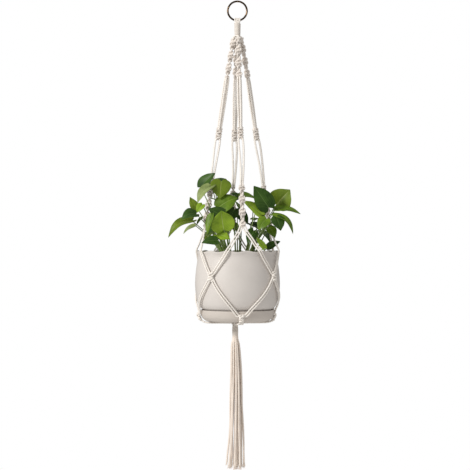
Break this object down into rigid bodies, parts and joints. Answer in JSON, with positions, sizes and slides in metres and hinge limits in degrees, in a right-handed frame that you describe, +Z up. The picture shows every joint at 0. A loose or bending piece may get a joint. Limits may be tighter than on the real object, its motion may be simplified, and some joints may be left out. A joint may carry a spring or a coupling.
{
  "type": "hanging macrame planter",
  "caption": "Knotted cotton-cord hanger on a metal ring, holding a round wavy-lipped pot and saucer with a leafy trailing plant, ending in a wrapped tassel.",
  "frame": {"origin": "inside top of the ring, where a hook seats", "axes": "+Z up along the hanging line, -Y towards the front, +X to the right"},
  "size_m": [0.2962, 0.1932, 1.0514],
  "materials": {
    "brass_ring": "polished, antique gold",
    "cotton_cord": "twisted natural cotton",
    "wrap_cord": "tightly wrapped natural cotton",
    "knotted_cord": "knotted natural cotton",
    "tassel_strands": "loose natural cotton strands",
    "pot_glaze": "matt off-white",
    "saucer_glaze": "matt off-white",
    "soil": "dark crumbly potting soil",
    "stems": "smooth green stalk",
    "leaves": "glossy green leaf"
  },
  "bodies": {
    "ring": {"ring": "brass_ring"},
    "ring_loops": {"ring_loops": "cotton_cord"},
    "hanger": {"top_wrap": "wrap_cord", "cord_bundle": "cotton_cord", "front_spiral": "knotted_cord", "right_spiral": "knotted_cord", "back_spiral": "knotted_cord", "left_spiral": "knotted_cord", "front_upper_cords": "cotton_cord", "right_upper_cords": "cotton_cord", "back_upper_cords": "cotton_cord", "left_upper_cords": "cotton_cord", "front_mid_knot": "knotted_cord", "right_mid_knot": "knotted_cord", "back_mid_knot": "knotted_cord", "left_mid_knot": "knotted_cord", "front_lower_cords": "cotton_cord", "right_lower_cords": "cotton_cord", "back_lower_cords": "cotton_cord", "left_lower_cords": "cotton_cord", "front_sennit": "knotted_cord", "right_sennit": "knotted_cord", "back_sennit": "knotted_cord", "left_sennit": "knotted_cord", "front_net_cords": "cotton_cord", "right_net_cords": "cotton_cord", "back_net_cords": "cotton_cord", "left_net_cords": "cotton_cord", "front_left_knot": "knotted_cord", "front_right_knot": "knotted_cord", "back_right_knot": "knotted_cord", "back_left_knot": "knotted_cord", "front_cradle_cords": "cotton_cord", "right_cradle_cords": "cotton_cord", "back_cradle_cords": "cotton_cord", "left_cradle_cords": "cotton_cord", "front_rim_knot": "knotted_cord", "right_rim_knot": "knotted_cord", "back_rim_knot": "knotted_cord", "left_rim_knot": "knotted_cord", "front_base_cords": "cotton_cord", "right_base_cords": "cotton_cord", "back_base_cords": "cotton_cord", "left_base_cords": "cotton_cord", "base_gather": "cotton_cord", "saucer": "saucer_glaze"},
    "pot": {"pot": "pot_glaze", "soil": "soil", "stems": "stems", "upper_left_leaves": "leaves", "lower_left_leaves": "leaves", "centre_leaves": "leaves", "right_leaves": "leaves", "lower_right_leaves": "leaves", "back_leaves": "leaves", "inner_leaves": "leaves"},
    "bottom_wrap": {"bottom_wrap": "wrap_cord"},
    "tassel": {"tassel": "tassel_strands"}
  },
  "joints": [
    {"name": "side_swing", "type": "hinge", "parent": "ring", "child": "ring_loops", "pos_m": [0, 0, -0.0195], "axis": [0, 1, 0], "range_deg": [-20, 20]},
    {"name": "front_swing", "type": "hinge", "parent": "ring_loops", "child": "hanger", "pos_m": [0, 0, -0.041], "axis": [1, 0, 0], "range_deg": [-25, 25]},
    {"name": "pot_turn", "type": "hinge", "parent": "hanger", "child": "pot", "pos_m": [0, 0, -0.715], "axis": [0, 0, 1], "range_deg": [-5, 5]},
    {"name": "tassel_side_swing", "type": "hinge", "parent": "hanger", "child": "bottom_wrap", "pos_m": [-0.005, 0, -0.731], "axis": [0, 1, 0], "range_deg": [-20, 20]},
    {"name": "tassel_front_swing", "type": "hinge", "parent": "bottom_wrap", "child": "tassel", "pos_m": [-0.005, 0, -0.7574], "axis": [1, 0, 0], "range_deg": [-30, 30]}
  ]
}
